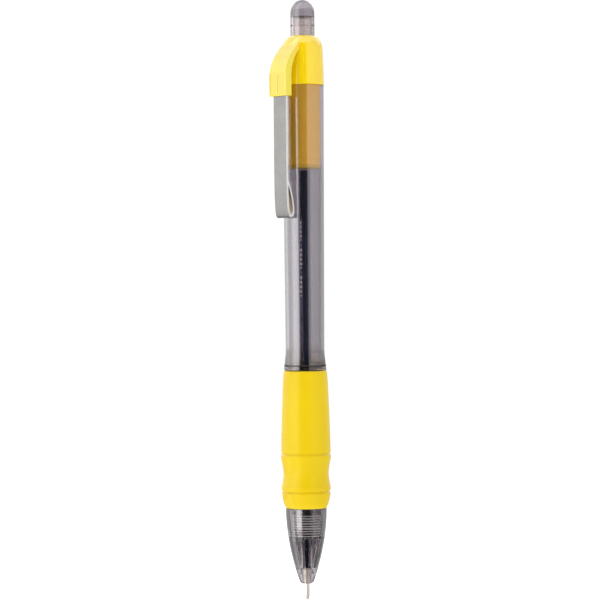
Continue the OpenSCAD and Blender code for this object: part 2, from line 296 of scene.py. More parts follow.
def towards(colour, level, share):
    """Colour moved by a share of the way towards an even grey of that level."""
    return tuple(lerp(c, level, share) for c in colour[:3]) + (1.0,)


class Nodes:
    """Short calls for building a node tree. Lengths are in millimetres, and noise scales are per metre."""

    def __init__(self, owner, output="ShaderNodeOutputMaterial", coordinates="Object"):
        owner.use_nodes = True
        self.owner = owner
        self.tree = owner.node_tree
        self.tree.nodes.clear()
        self.out = self.tree.nodes.new(output)
        self.coords = self.tree.nodes.new("ShaderNodeTexCoord").outputs[coordinates]

    def add(self, kind, **values):
        """New node. Each value goes to the node's setting of that name, or else to its input."""
        node = self.tree.nodes.new(kind)
        for key, value in values.items():
            if hasattr(node, key):
                setattr(node, key, value)
            else:
                self.put(node.inputs[key.replace("_", " ")], value)
        return node

    def put(self, socket, value):
        """Links an output to an input, or sets the input to a plain value."""
        if isinstance(value, bpy.types.NodeSocket):
            self.tree.links.new(value, socket)
        else:
            socket.default_value = value

    def math(self, operation, a, b=0.0):
        node = self.add("ShaderNodeMath", operation=operation)
        self.put(node.inputs[0], a)
        self.put(node.inputs[1], b)
        return node.outputs[0]

    def product(self, first, *rest):
        for factor in rest:
            first = self.math("MULTIPLY", first, factor)
        return first

    def rest_of(self, share):
        """What a share leaves of 1."""
        return self.math("SUBTRACT", 1.0, share)

    def span(self, value, low, high, low_in=0.0, high_in=1.0):
        """Maps a value from one range to another, and stops at its ends."""
        node = self.add("ShaderNodeMapRange", From_Min=low_in, From_Max=high_in, To_Min=low, To_Max=high)
        self.put(node.inputs["Value"], value)
        return node.outputs["Result"]

    def above(self, value, limit):
        return self.math("GREATER_THAN", value, limit)

    def below(self, value, limit):
        return self.math("LESS_THAN", value, limit)

    def between(self, value, low, high):
        """1 where the value lies between two others, and 0 elsewhere."""
        return self.product(self.above(value, low), self.below(value, high))

    def dot(self, direction):
        """Share of the coordinates along a direction."""
        node = self.add("ShaderNodeVectorMath", operation="DOT_PRODUCT")
        self.put(node.inputs[0], self.coords)
        node.inputs[1].default_value = direction
        return node.outputs["Value"]

    def along(self, x, y, z):
        """Distance from the pen's origin along a direction."""
        return self.product(self.dot((x, y, z)), 1 / MM)

    def width(self):
        """Distance to the side of the pen's middle plane."""
        return self.math("ABSOLUTE", self.along(1.0, 0.0, 0.0))

    def front(self):
        """Distance in front of the pen's axis, on the clip's side."""
        return self.along(0.0, -1.0, 0.0)

    def height(self):
        return self.along(0.0, 0.0, 1.0)

    def from_axis(self):
        """Distance from the pen's axis."""
        flat = self.add("ShaderNodeVectorMath", operation="MULTIPLY")
        self.put(flat.inputs[0], self.coords)
        flat.inputs[1].default_value = (1.0, 1.0, 0.0)
        length = self.add("ShaderNodeVectorMath", operation="LENGTH")
        self.put(length.inputs[0], flat.outputs[0])
        return self.product(length.outputs["Value"], 1 / MM)

    def ramp_z(self, zero_at, one_at):
        """Goes from 0 at one height to 1 at another."""
        return self.span(self.height(), 0.0, 1.0, zero_at, one_at)

    def wave_z(self, pitch, start=0.0):
        """A sine along the height."""
        from_start = self.math("SUBTRACT", self.height(), start)
        return self.math("SINE", self.product(from_start, 2 * math.pi / pitch))

    def scaled(self, x, y, z):
        """The coordinates stretched by (x, y, z)."""
        return self.add("ShaderNodeMapping", Vector=self.coords, Scale=(x, y, z)).outputs["Vector"]

    def noise(self, scale, detail=3.0, rough=0.5, vector=None):
        where = self.coords if vector is None else vector
        node = self.add("ShaderNodeTexNoise", Vector=where, Scale=scale, Detail=detail, Roughness=rough)
        return node.outputs["Fac"]

    def mix(self, factor, a, b, blend_type="MIX"):
        """Colour between a and b."""
        node = self.add("ShaderNodeMix", data_type="RGBA", blend_type=blend_type)
        self.put(node.inputs[0], factor)
        self.put(node.inputs[6], a)
        self.put(node.inputs[7], b)
        return node.outputs[2]

    def bump(self, height, strength, distance):
        """Normal of a bumpy surface, whose distance is in metres."""
        node = self.add("ShaderNodeBump", Strength=strength, Distance=distance, Height=height)
        return node.outputs["Normal"]

    def shader(self, kind, **values):
        """Output of a new shader node."""
        return self.add(kind, **values).outputs[0]

    def mix_shader(self, factor, a, b):
        """Shader between a and b."""
        node = self.add("ShaderNodeMixShader")
        self.put(node.inputs[0], factor)
        self.put(node.inputs[1], a)
        self.put(node.inputs[2], b)
        return node.outputs[0]

    def surface(self, shader):
        """Ends the tree, and gives the material or world that it belongs to."""
        self.put(self.out.inputs["Surface"], shader)
        return self.owner


# ---------------------------------------------------------------- kinds of material
def smoke_material(
        name, tint, rough, gloss=0.0, polished_from=0.0, shadow=0.9, rim=(0.40, 0.50, 0.42),
        milk_and_highlight=None, calm=None, zones=(), dark_lines=()):
    """Clear tinted plastic.
    Rough is the lowest and highest roughness.
    Gloss is the strength of an extra mirror layer, which starts at the height polished_from.
    Shadow is how far the tint fades to white where the plastic casts a shadow.
    Rim is where a wall seen edge-on takes a deeper tint, where that is full, and how dark it is, since light
    runs along the wall there.
    The milk function gives the share of matt white, which on the barrel's thread is a painted highlight,
    and calm is one that gives where the plastic bends light less.
    Each zone is a tint and two heights: from the first to the second the plastic passes to that tint.
    Each dark line is given as its height, half its thickness, and its strength facing the eye and at
    the rim; the barrel's one is a painted shadow."""
    acrylic_ior, calm_ior = 1.49, 1.06
    n = Nodes(bpy.data.materials.new(name))
    haze = n.noise(260.0, 4.0)
    scuffs = n.noise(2600.0, 2.0, vector=n.scaled(1.0, 1.0, 0.08))
    flow = n.noise(60.0, 2.0)
    outside = n.rest_of(n.add("ShaderNodeNewGeometry").outputs["Backfacing"])
    facing = n.add("ShaderNodeLayerWeight", Blend=0.5).outputs["Facing"]
    rim_start, rim_full, rim_dark = rim
    slant = n.product(n.span(facing, 0.0, 1.0, rim_start, rim_full), outside)
    colour = n.mix(n.span(flow, 0.0, 1.0, 0.3, 0.7), tint, towards(tint, 0.0, 0.05))
    for zone_tint, heights in zones:
        colour = n.mix(n.ramp_z(*heights), colour, zone_tint)
    deep = n.mix(1.0, colour, (rim_dark, rim_dark, rim_dark, 1.0), "MULTIPLY")
    scuffed = n.math("ADD", n.span(haze, *rough, 0.35, 0.7), n.span(scuffs, 0.0, 0.03, 0.64, 0.8))
    body = n.shader(
        "ShaderNodeBsdfPrincipled", Base_Color=n.mix(slant, colour, deep), Roughness=scuffed,
        Transmission_Weight=1.0, IOR=n.span(calm(n), acrylic_ior, calm_ior) if calm else acrylic_ior,
        Normal=n.bump(haze, 0.02, 0.00002))
    polish = n.shader("ShaderNodeBsdfGlossy", Color=WHITE, Roughness=rough[0])
    body = n.mix_shader(n.product(outside, n.above(n.height(), polished_from), gloss), body, polish)
    if milk_and_highlight:
        body = n.mix_shader(milk_and_highlight(n), body, n.shader("ShaderNodeBsdfDiffuse", Color=(0.97, 0.94, 0.92, 1.0)))
    for at, half, facing_share, rim_share in dark_lines:
        line = n.between(n.height(), at - half, at + half)
        strength = n.span(slant, facing_share, rim_share)
        dark = n.shader("ShaderNodeBsdfDiffuse", Color=(0.03, 0.026, 0.024, 1.0))
        body = n.mix_shader(n.product(line, strength, outside), body, dark)
    # its shadows are tinted light, so that what is inside it is lit
    rays = n.add("ShaderNodeLightPath").outputs
    lights_inside = n.math("MAXIMUM", rays["Is Shadow Ray"], rays["Is Diffuse Ray"])
    clear = n.shader("ShaderNodeBsdfTransparent", Color=towards(tint, 1.0, shadow))
    return n.surface(n.mix_shader(lights_inside, body, clear))


def plastic_material(
        name, colour, deep, rough, grain=0.06, subsurface=0.0, specular=1.0, sheen=WHITE, zones=()):
    """Moulded plastic with a fine grain and small handling marks. Its colour drifts slowly to a deeper one.
    Rough is the lowest and highest roughness.
    Each zone is a colour and a function that gives where it lies."""
    n = Nodes(bpy.data.materials.new(name))
    drift = n.noise(90.0, 3.0)
    fine = n.noise(5000.0, 2.0)
    marks = n.noise(1600.0, 5.0, 0.7)
    tone = n.mix(n.span(drift, 0.0, 1.0, 0.3, 0.7), colour, deep)
    for zone_colour, where in zones:
        tone = n.mix(where(n), tone, zone_colour)
    marked = n.math("ADD", n.span(drift, *rough, 0.3, 0.7), n.span(marks, 0.0, 0.05, 0.62, 0.8))
    return n.surface(n.shader(
        "ShaderNodeBsdfPrincipled", Base_Color=tone, Roughness=marked, IOR=1.5, Specular_IOR_Level=specular,
        Specular_Tint=sheen, Normal=n.bump(fine, grain, 0.000006), Subsurface_Weight=subsurface,
        Subsurface_Radius=(1.0, 0.6, 0.05), Subsurface_Scale=0.0008))


def metal_material(
        name, colour, rough, grain, stretch=(1.0, 1.0, 1.0), scale=9000.0, edge=WHITE, metallic=1.0,
        zones=()):
    """Metal with a fine grain, which is drawn out to lines where stretch is small.
    Rough is the lowest and highest roughness, and edge is the tint where the metal is seen edge-on.
    Each zone is a colour and a function that gives where it lies."""
    n = Nodes(bpy.data.materials.new(name))
    lines = n.noise(scale, 3.0, 0.6, vector=n.scaled(*stretch))
    cloud = n.noise(400.0, 3.0)
    tone = n.mix(n.span(cloud, 0.0, 1.0, 0.3, 0.75), colour, towards(colour, 0.0, 0.14))
    for zone_colour, where in zones:
        tone = n.mix(where(n), tone, zone_colour)
    return n.surface(n.shader(
        "ShaderNodeBsdfPrincipled", Base_Color=tone, Metallic=metallic, Specular_Tint=edge,
        Roughness=n.span(lines, *rough, 0.3, 0.7), Normal=n.bump(lines, grain, 0.000005)))


# ---------------------------------------------------------------- where finishes change
def thread_band(n):
    """The threaded part of the barrel's spigot."""
    return n.between(n.height(), BARREL_LO.z - 0.1, THREAD_END_Z + 0.1)


def thread_highlights(n):
    """Painted highlights: pale lines across the thread, where it catches the light."""
    line_pitch = 0.6
    strongest = 0.34
    lines = n.span(n.wave_z(line_pitch, BARREL_LO.z + 0.1), 0.0, strongest, 0.0, 0.9)
    return n.product(thread_band(n), lines)


def nose_inside(n):
    """The ribs and the narrow bores inside the nose cone, without its outer wall."""
    well_wall_r = 1.3
    cavity_r = n.span(n.height(), 0.78, 3.5, 4.35, 16.0)
    inside = n.below(n.from_axis(), n.math("MAXIMUM", cavity_r, well_wall_r))
    return n.product(n.below(n.height(), RIB_END_Z), inside)


def rib_faces(n):
    """The ribs inside the nose cone are a little cloudy."""
    cloudiness = 0.03
    return n.product(nose_inside(n), n.ramp_z(NOSE_FLOOR_Z, NOSE_FLOOR_Z + 0.1), cloudiness)


def print_marks(n):
    """A row of plain dashes along the refill tube, in groups, turned a little away from the clip."""
    turned = math.radians(9)
    row_half, row_low, row_high = 0.15, 72.5, 92.5
    dash_pitch, group_pitch = 1.1, 6.7
    strength = 0.4
    near_side = n.above(n.along(math.sin(turned), -math.cos(turned), 0.0), 1.0)
    row = n.between(n.along(math.cos(turned), math.sin(turned), 0.0), -row_half, row_half)
    dashes = n.above(n.wave_z(dash_pitch), -0.2)
    groups = n.above(n.wave_z(group_pitch), -0.75)
    return n.product(near_side, row, n.between(n.height(), row_low, row_high), dashes, groups, strength)


def cloudy(n):
    """A slightly uneven share of white all over."""
    return n.span(n.noise(400.0), 0.08, 0.12, 0.3, 0.7)


def sleeve_shade_zone(n):
    """The cap's part inside the barrel: its deeper orange is painted shade, its blue a painted reflection."""
    collar_inside_r = 4.3
    under_collar = n.ramp_z(COLLAR_FOOT_Z + 0.02, COLLAR_FOOT_Z - 0.02)
    return n.product(under_collar, n.below(n.from_axis(), collar_inside_r))


def arm_sheen_zone(n):
    """The cap's thin arm, whose paler and greener colour is a painted sheen."""
    return n.span(n.front(), 0.0, 1.0, 5.0, 6.2)


def foot_front(n, start, full):
    """The front of the arm's foot, from one distance in front of the axis to another."""
    return n.product(n.ramp_z(PANEL_TOP_Z, PANEL_TOP_Z - 0.1), n.span(n.front(), 0.0, 1.0, start, full))


def panel_zone(n):
    """The recessed panels on the front of the arm's foot."""
    return foot_front(n, 8.55, 8.6)


def crease_highlight_zone(n):
    """The thin raised line down the middle of the arm's foot, and its outer corners, in a painted highlight.
    """
    line_half, corner_x = 0.09, 2.62
    where = n.math("MAXIMUM", n.below(n.width(), line_half), n.above(n.width(), corner_x))
    return n.product(where, foot_front(n, 8.4, 8.5))


def hem_highlight_zone(n):
    """The inside of the clip's folded end, whose light warm colour is a painted highlight."""
    strip_back = 7.2
    return n.product(n.below(n.front(), strip_back), n.ramp_z(CLIP_LO.z + 0.6, CLIP_LO.z + 1.0))


def cut_edge_highlight_zone(n):
    """The clip's two cut edges, whose light colour is a painted highlight."""
    return n.above(n.width(), CLIP_HI.x - 0.06)


# ---------------------------------------------------------------- materials
SMOKE = smoke_material(
    "smoke_clear", (0.60, 0.57, 0.59, 1.0), rough=(0.0, 0.012), gloss=0.045, polished_from=14.3,
    rim=(0.24, 0.34, 0.45), milk_and_highlight=rib_faces, calm=nose_inside)
BARREL_SMOKE = smoke_material(
    "smoke_clear_barrel", (0.45, 0.42, 0.455, 1.0), rough=(0.0, 0.012), gloss=0.05, shadow=1.0,
    # its dark line at 56.2 mm is a painted shadow just above the grip
    rim=(0.40, 0.50, 0.55), milk_and_highlight=thread_highlights, calm=thread_band, dark_lines=((56.2, 0.22, 0.5, 0.8),), zones=(
        ((0.58, 0.50, 0.53, 1.0), (104.0, 104.4)),  # over the cap's sleeve: paler and warmer, painted light so that the sleeve looks lit
        ((0.36, 0.315, 0.30, 1.0), (61.5, 56.5)),  # in the flare, where the wall is thick
        ((0.34, 0.26, 0.17, 1.0), (56.0, 55.95)),  # next to the grip: painted warm light bounced from the grip
        ((0.62, 0.60, 0.60, 1.0), (24.0, 22.0)),  # down to the spigot, whose wall is thin
    ))
BUTTON_SMOKE = smoke_material(
    "button_smoke", (0.66, 0.605, 0.60, 1.0), rough=(0.02, 0.05), rim=(0.36, 0.48, 0.42),
    dark_lines=((137.65, 0.13, 0.0, 0.85), (139.73, 0.12, 0.25, 0.6)), zones=(
        ((0.28, 0.25, 0.28, 1.0), (139.5, 140.1)),  # up to the dome, which is solid
    ))
TUBE_CLEAR = smoke_material(
    "tube_clear", (0.90, 0.90, 0.93, 1.0), rough=(0.02, 0.05), rim=(0.3, 0.6, 0.9), milk_and_highlight=print_marks)
FOLLOWER = smoke_material("follower_grease", (0.86, 0.78, 0.60, 1.0), rough=(0.15, 0.25))
PLUNGER_PALE = smoke_material("plunger_plastic", (0.97, 0.93, 0.91, 1.0), rough=(0.1, 0.2), milk_and_highlight=cloudy)
CAP_YELLOW = plastic_material(
    "cap_plastic", srgb(251, 218, 5), srgb(248, 211, 3), rough=(0.02, 0.05), grain=0.02, subsurface=0.1,
    zones=(
        (srgb(248, 200, 64), sleeve_shade_zone), (srgb(240, 220, 44), arm_sheen_zone), (srgb(234, 209, 10), panel_zone),
        (srgb(255, 238, 120), crease_highlight_zone),
    ))
GRIP_YELLOW = plastic_material(
    "grip_rubber", srgb(236, 203, 0), srgb(231, 197, 0), rough=(0.28, 0.36), grain=0.2, subsurface=0.1,
    specular=0.45, sheen=(0.9, 0.93, 0.65, 1.0))
HOLDER_DARK = plastic_material(
    "holder_plastic", srgb(20, 20, 36), srgb(12, 12, 24), rough=(0.12, 0.2), specular=0.4)
INK_DARK = plastic_material(
    "ink_dark", srgb(34, 38, 66), srgb(26, 30, 54), rough=(0.05, 0.12), grain=0.0, specular=0.05)
CAM_PLASTIC = plastic_material("cam_plastic", srgb(150, 140, 136), srgb(132, 124, 122), rough=(0.3, 0.4))
CLIP_METAL = metal_material(
    "clip_metal", (0.21, 0.207, 0.20, 1.0), rough=(0.24, 0.36), grain=0.10, stretch=(1.0, 1.0, 0.02), zones=(
        ((0.70, 0.65, 0.58, 1.0), hem_highlight_zone), ((0.88, 0.87, 0.85, 1.0), cut_edge_highlight_zone),
    ))
NEEDLE_METAL = metal_material(
    "needle_metal", (0.98, 0.92, 0.80, 1.0), rough=(0.30, 0.36), grain=0.03, stretch=(0.1, 0.1, 1.0),
    edge=(0.75, 0.66, 0.55, 1.0), metallic=0.7)
BALL_METAL = metal_material("ball_metal", (0.86, 0.84, 0.82, 1.0), rough=(0.15, 0.25), grain=0.02)
SPRING_WIRE = metal_material(
    "spring_wire", (0.62, 0.62, 0.64, 1.0), rough=(0.18, 0.30), grain=0.08, scale=6000.0)

# ---------------------------------------------------------------- writing point
needle_r = (NEEDLE_HI.x - NEEDLE_LO.x) / 2
needle_bore_r = 0.25
needle = lathe("needle", rounded([
    (needle_bore_r, NEEDLE_HI.z), (needle_bore_r, 0.62), (0.33, 0.50), (0.37, 0.35), (0.352, 0.235),
    (0.43, 0.22, 0.02), (needle_r, 1.1, 0.25), (needle_r, NEEDLE_HI.z, 0.05),
]), SMALL_SEGMENTS)
finish_mesh(needle, "refill", "needle_tip", NEEDLE_METAL)

ball_r = (BALL_HI.z - BALL_LO.z) / 2
ball = lathe("ball", [
    (ball_r * math.sin(a), ball_r - ball_r * math.cos(a)) for a in steps(0.0, math.pi, 32)
], SMALL_SEGMENTS)
finish_mesh(ball, "ball", "writing_ball", BALL_METAL)

holder_bore_r = 0.67
holder_spigot_r = 1.13
needle_seat_z = 11.05
holder = lathe("holder", rounded([
    (needle_bore_r, HOLDER_HI.z), (needle_bore_r, needle_seat_z), (holder_bore_r, needle_seat_z),
    (holder_bore_r, HOLDER_LO.z), (0.93, HOLDER_LO.z, 0.08), (1.06, 12.6, 0.1), (1.06, 13.35, 0.05),
    (1.42, 13.42, 0.05), (1.45, 14.05, 0.05), (holder_spigot_r, 14.1), (holder_spigot_r, 18.6, 0.1),
    (holder_spigot_r - 0.25, HOLDER_HI.z),
]), SEGMENTS // 2)
finish_mesh(holder, "refill", "tip_holder", HOLDER_DARK)

# ---------------------------------------------------------------- refill
tube_r = 1.5
tube_bore_r = 1.15
ear_z = 44.8
ear_reach_z = 1.4


def pinch(r, z, a):
    """The tube's two pinched ears, which carry the spring."""
    ear_out, ear_half_height, ear_start = 0.85, 0.55, 0.955
    if r < tube_bore_r + 0.01:
        return r
    near = math.exp(-((z - ear_z) / ear_half_height) ** 4)
    return r + near * ear_out * max(0.0, abs(math.cos(a)) - ear_start) / (1 - ear_start)


tube_profile = [(tube_bore_r, TUBE_HI.z)]
tube_profile += rounded([(tube_bore_r, TUBE_LO.z), (tube_r, TUBE_LO.z, 0.05), (tube_r, 43.0)])
tube_profile += [(tube_r, z) for z in steps(ear_z - ear_reach_z, ear_z + ear_reach_z, 28)]
tube_profile += rounded([(tube_r, 46.6), (tube_r, TUBE_HI.z, 0.08), (tube_bore_r, TUBE_HI.z)])[:-1]
tube = lathe("refill_tube_wall", tube_profile, reshape=pinch)
finish_mesh(tube, "refill", "refill_tube", TUBE_CLEAR)

ink_r = (INK_HI.x - INK_LO.x) / 2
hollow = 0.35
ink_profile = [(0, INK_LO.z), (ink_r, INK_LO.z)]
ink_profile += [(ink_r * s, INK_HI.z - hollow * (1 - s * s)) for s in steps(1.0, 0.0, 6)]
ink = lathe("ink_column", ink_profile, SMALL_SEGMENTS)
finish_mesh(ink, "refill", "ink", INK_DARK)

follower = lathe("grease_plug", rounded([
    (0, FOLLOWER_LO.z), (ink_r, FOLLOWER_LO.z, 0.1), (ink_r, FOLLOWER_HI.z, 0.3), (0, FOLLOWER_HI.z),
]), SMALL_SEGMENTS)
finish_mesh(follower, "refill", "ink_follower", FOLLOWER)

# ---------------------------------------------------------------- return spring
wire_r = 0.2
spring_r = (SPRING_HI.x - SPRING_LO.x) / 2 - wire_r
spring_low_z = SPRING_LO.z + wire_r
spring_high_z = SPRING_HI.z - wire_r
spring_turns = 9
steps_per_turn = 36


def spring_point(f):
    """Middle of the wire at a share of its length. The first and last turns lie nearly flat."""
    end_turn = 1 / spring_turns
    end_lift = 0.46
    if f < end_turn:
        z = spring_low_z + end_lift * f / end_turn
    elif f > 1 - end_turn:
        z = spring_high_z - end_lift * (1 - f) / end_turn
    else:
        rise = spring_high_z - spring_low_z - 2 * end_lift
        z = spring_low_z + end_lift + rise * (f - end_turn) / (1 - 2 * end_turn)
    a = 2 * math.pi * spring_turns * f
    return Vector((spring_r * math.cos(a), spring_r * math.sin(a), z))


coil = [spring_point(f) for f in steps(0.0, 1.0, spring_turns * steps_per_turn)]
spring = tube_along("return_spring", coil, wire_r)
finish_mesh(spring, None, "spring", SPRING_WIRE, smooth=180.0)
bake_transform(spring)

# ---------------------------------------------------------------- nose cone
nose_mouth_r = 1.45
nose_top_r = (NOSE_HI.x - NOSE_LO.x) / 2
mouth_bore_r = 0.78
well_r = 1.12
well_z = 6.4
nose_wall_t = 1.05
rib_count = 12
rib_inner_r = 1.75
spigot_socket_r = 4.0


def nose_outer(z):
    share = (z - NOSE_LO.z) / (NOSE_HI.z - NOSE_LO.z)
    return nose_mouth_r + (nose_top_r - nose_mouth_r) * math.sin(math.pi / 2 * share) ** 0.87


def ribbed(r, z, a):
    """Thin guide ribs that stand in from the cavity's wall."""
    rib_half, rib_side = 0.05, 0.08
    in_cavity = NOSE_FLOOR_Z + 0.02 < z < RIB_END_Z + 0.02 and rib_inner_r <= r <= nose_outer(z) - 0.6
    if not in_cavity:
        return r
    phase = (a * rib_count / (2 * math.pi)) % 1.0
    away = min(phase, 1 - phase) * 2 * math.pi / rib_count * rib_inner_r
    share = max(0.0, min(1.0, (rib_half + rib_side - away) / rib_side))
    return lerp(r, rib_inner_r, share * share * (3 - 2 * share))


nose_profile = rounded([
    (mouth_bore_r, 6.0), (mouth_bore_r, NOSE_LO.z + 0.1, 0.08), (0.95, NOSE_LO.z, 0.05),
    (1.25, NOSE_LO.z, 0.1), (nose_outer(4.35), 4.35),
])
nose_profile += [(nose_outer(z), z) for z in steps(4.35, 21.8, 60)[1:]]
nose_profile += rounded([
    (nose_outer(21.8), 21.8), (nose_top_r, NOSE_HI.z, 0.1), (spigot_socket_r, NOSE_HI.z, 0.1),
    (spigot_socket_r, RIB_END_Z + 0.1, 0.05), (3.35, RIB_END_Z),
])[1:]
nose_profile += [(nose_outer(z) - nose_wall_t, z) for z in steps(15.0, 7.7, 24)]
nose_profile += rounded([
    (nose_outer(7.7) - nose_wall_t, 7.65), (1.45, NOSE_FLOOR_Z, 0.05), (well_r, NOSE_FLOOR_Z, 0.03),
    (well_r, well_z, 0.05), (mouth_bore_r, well_z),
])[1:]
nose = lathe("nose", nose_profile, 2 * SEGMENTS, reshape=ribbed)
finish_mesh(nose, "nose", "nose_cone", SMOKE, smooth=75.0)

# ---------------------------------------------------------------- barrel
thread_root_r, thread_crest_r, thread_pitch = 3.62, 3.9, 0.75
thread_turns = 6
spigot_bore_r = 2.9
grip_core_r = 4.3
grip_core_bore_r = 2.8
barrel_top_r = 5.0
sleeve_bore_r = 4.2
shoulder_z = 55.0


def thread_points():
    """Rounded ridges of the spigot's thread, from its foot upwards."""
    steps_per_ridge = 12
    points = []
    for turn in steps(0, thread_turns, thread_turns * steps_per_ridge):
        ridge = max(0.0, min(1.0, 0.75 - 1.25 * math.cos(2 * math.pi * turn)))
        z = BARREL_LO.z + 0.25 + turn * thread_pitch
        points.append((lerp(thread_root_r, thread_crest_r, ridge), z))
    return points


def barrel_outer(z):
    """A slow taper down to the neck, and a flare below it to the grip's shoulder."""
    neck_r, neck_z = 4.66, 60.2
    flare_r, flare_turn = 5.12, math.pi * 0.86
    straight = neck_r + (barrel_top_r - neck_r) * (z - neck_z) / (BARREL_HI.z - neck_z)
    if z >= neck_z:
        return straight
    down = min(1.0, (neck_z - z) / (neck_z - shoulder_z))
    return straight + (flare_r - straight) * (1 - math.cos(flare_turn * down)) / (1 - math.cos(flare_turn))


barrel_profile = rounded([
    (spigot_bore_r, 20.0), (spigot_bore_r, BARREL_LO.z, 0.15), (thread_root_r, BARREL_LO.z, 0.12),
    (thread_root_r, BARREL_LO.z + 0.2),
])
barrel_profile += thread_points()
barrel_profile += rounded([
    (thread_root_r, THREAD_END_Z), (thread_root_r, 22.05, 0.05), (grip_core_r, 22.05, 0.05),
    (grip_core_r, shoulder_z, 0.05), (5.0, shoulder_z, 0.1), (barrel_outer(55.15), 55.15),
])
barrel_profile += [(barrel_outer(z), z) for z in steps(55.4, 60.4, 20) + steps(61.0, 121.0, 10)]
barrel_profile += rounded([
    (barrel_outer(122.6), 122.6), (barrel_top_r, BARREL_HI.z, 0.12), (sleeve_bore_r, BARREL_HI.z, 0.08),
    (sleeve_bore_r, 122.0),
])
barrel_profile += [(sleeve_bore_r, 102.5), (4.12, 92.0), (4.04, 80.0), (3.96, 68.0)]
barrel_profile += rounded([
    (3.9, 58.0), (3.87, 56.2, 0.3), (grip_core_bore_r, 55.5, 0.25), (grip_core_bore_r, 26.0, 0.1),
    (1.85, 26.0, 0.1), (1.85, 24.5, 0.1), (spigot_bore_r, 24.5, 0.1),
])
barrel = lathe("barrel_shell", barrel_profile)
finish_mesh(barrel, "barrel", "barrel", BARREL_SMOKE)

# ---------------------------------------------------------------- grip
grip_bore_r = 4.32
grip_profile = rounded([
    (grip_bore_r, 54.0), (grip_bore_r, GRIP_HI.z, 0.05), (5.08, GRIP_HI.z, 0.12), (5.22, 54.72),
])
grip_profile += spline([
    (5.22, 54.72), (5.29, 54.2), (5.35, 53.2), (5.42, 52.25), (5.475, 51.3), (5.52, 50.0), (5.565, 48.4),
    (5.64, 46.9), (5.70, 45.5), (5.735, 44.1), (5.77, 42.65), (5.81, 41.2), (5.854, 39.8), (5.884, 38.3),
    (5.915, 36.9), (5.945, 35.85),
])[1:]
grip_profile += rounded([
    (5.945, 35.85), (5.955, 35.5, 0.14), (5.74, 35.3, 0.1), (5.74, 35.0, 0.1), (6.0, 34.75, 0.2),
    (6.02, 34.3, 0.25), (5.95, 33.9, 0.2), (5.87, 33.55),
])[1:]
grip_profile += spline([
    (5.87, 33.55), (5.77, 33.05), (5.67, 32.57), (5.60, 32.09), (5.53, 31.6), (5.466, 31.1), (5.428, 30.5),
    (5.44, 29.95), (5.487, 29.45), (5.56, 29.0), (5.65, 28.3), (5.75, 27.75), (5.86, 27.25), (5.90, 26.9),
])[1:]
grip_profile += rounded([
    (5.90, 26.9), (5.91, 26.45, 0.15), (5.60, 26.2, 0.1), (5.60, 25.95, 0.1), (5.84, 25.7, 0.15),
    (5.80, 25.35),
])[1:]
grip_profile += spline([
    (5.80, 25.35), (5.73, 24.95), (5.66, 24.55), (5.58, 24.1), (5.46, 23.6), (5.32, 23.1), (5.16, 22.65),
    (4.98, 22.3),
])[1:]
grip_profile += rounded([
    (4.98, 22.3), (4.86, GRIP_LO.z, 0.1), (grip_bore_r, GRIP_LO.z, 0.05), (grip_bore_r, 23.0),
])[1:]
grip = lathe("grip_sleeve", grip_profile)
finish_mesh(grip, "barrel", "grip", GRIP_YELLOW)

# ---------------------------------------------------------------- cap with its arm
collar_r = 5.06
crown_z, crown_h = 131.6, 3.6
crown_mid_r, crown_round_r = 2.77, 2.05
button_hole_r = 2.97
sleeve_outer_r = 4.15

collar_profile = rounded([
    (3.4, 105.0), (3.4, CAP_LO.z, 0.1), (4.05, CAP_LO.z, 0.1), (4.05, 105.7, 0.05),
    (sleeve_outer_r, 105.8, 0.05), (sleeve_outer_r, COLLAR_FOOT_Z, 0.05), (5.09, COLLAR_FOOT_Z, 0.12),
    (collar_r, 124.6),
])
collar_profile += [(collar_r - 0.24 * ((z - 124.6) / 7.0) ** 1.2, z) for z in steps(124.6, 131.1, 13)[1:]]
collar_profile += [
    (crown_mid_r + crown_round_r * math.cos(math.radians(a)), crown_z + crown_h * math.sin(math.radians(a)))
    for a in range(4, 82, 6)
]
collar_profile += rounded([
    (3.12, 135.14), (3.0, crown_z + crown_h, 0.05), (button_hole_r, 135.0), (button_hole_r, 121.4, 0.05),
    (3.4, 121.35),
])
cap = lathe("cap_shell", collar_profile)

arm_w = 5.47
arm_front = [
    (8.71, 121.0), (8.71, 122.5), (8.71, 124.0), (8.70, 125.6), (8.53, 126.1), (8.36, 126.8), (8.14, 127.55),
    (7.86, 128.3), (7.50, 129.05), (7.24, 129.5), (6.92, 130.0), (6.54, 130.5), (6.13, 131.0), (5.66, 131.52),
    (5.2, 132.05), (4.7, 132.58), (4.2, 133.05), (3.8, 133.35), (3.4, 133.5),
]
arm_back = [
    (3.8, 131.4), (4.35, 131.15), (4.85, 130.5), (5.35, 129.6), (5.80, 128.6), (6.15, 127.6), (6.38, 126.6),
    (6.48, 125.6), (6.5, 124.4), (6.5, 122.4), (6.5, 120.4),
]
arm_foot = [(8.35, 120.38), (8.6, 120.55)]
arm = side_solid("cap_arm", arm_front + arm_back + arm_foot, arm_w)
bevel_edges(arm, 0.14, 40.0)
pocket = side_solid("pocket", [(6.85, 119.0), (8.06, 119.0), (8.06, 125.3), (6.85, 125.3)], 4.48)
combine(arm, pocket, "DIFFERENCE")
for side in (-1, 1):
    panel = side_solid("panel", [(8.63, 118.0), (9.5, 118.0), (9.5, PANEL_TOP_Z), (8.62, PANEL_TOP_Z)], 2.34)
    panel.location.x = side * 1.26 * MM
    combine(arm, panel, "DIFFERENCE")
combine(cap, arm, "UNION")
finish_mesh(cap, "barrel", "cap", CAP_YELLOW, smooth=28.0, flat=True)

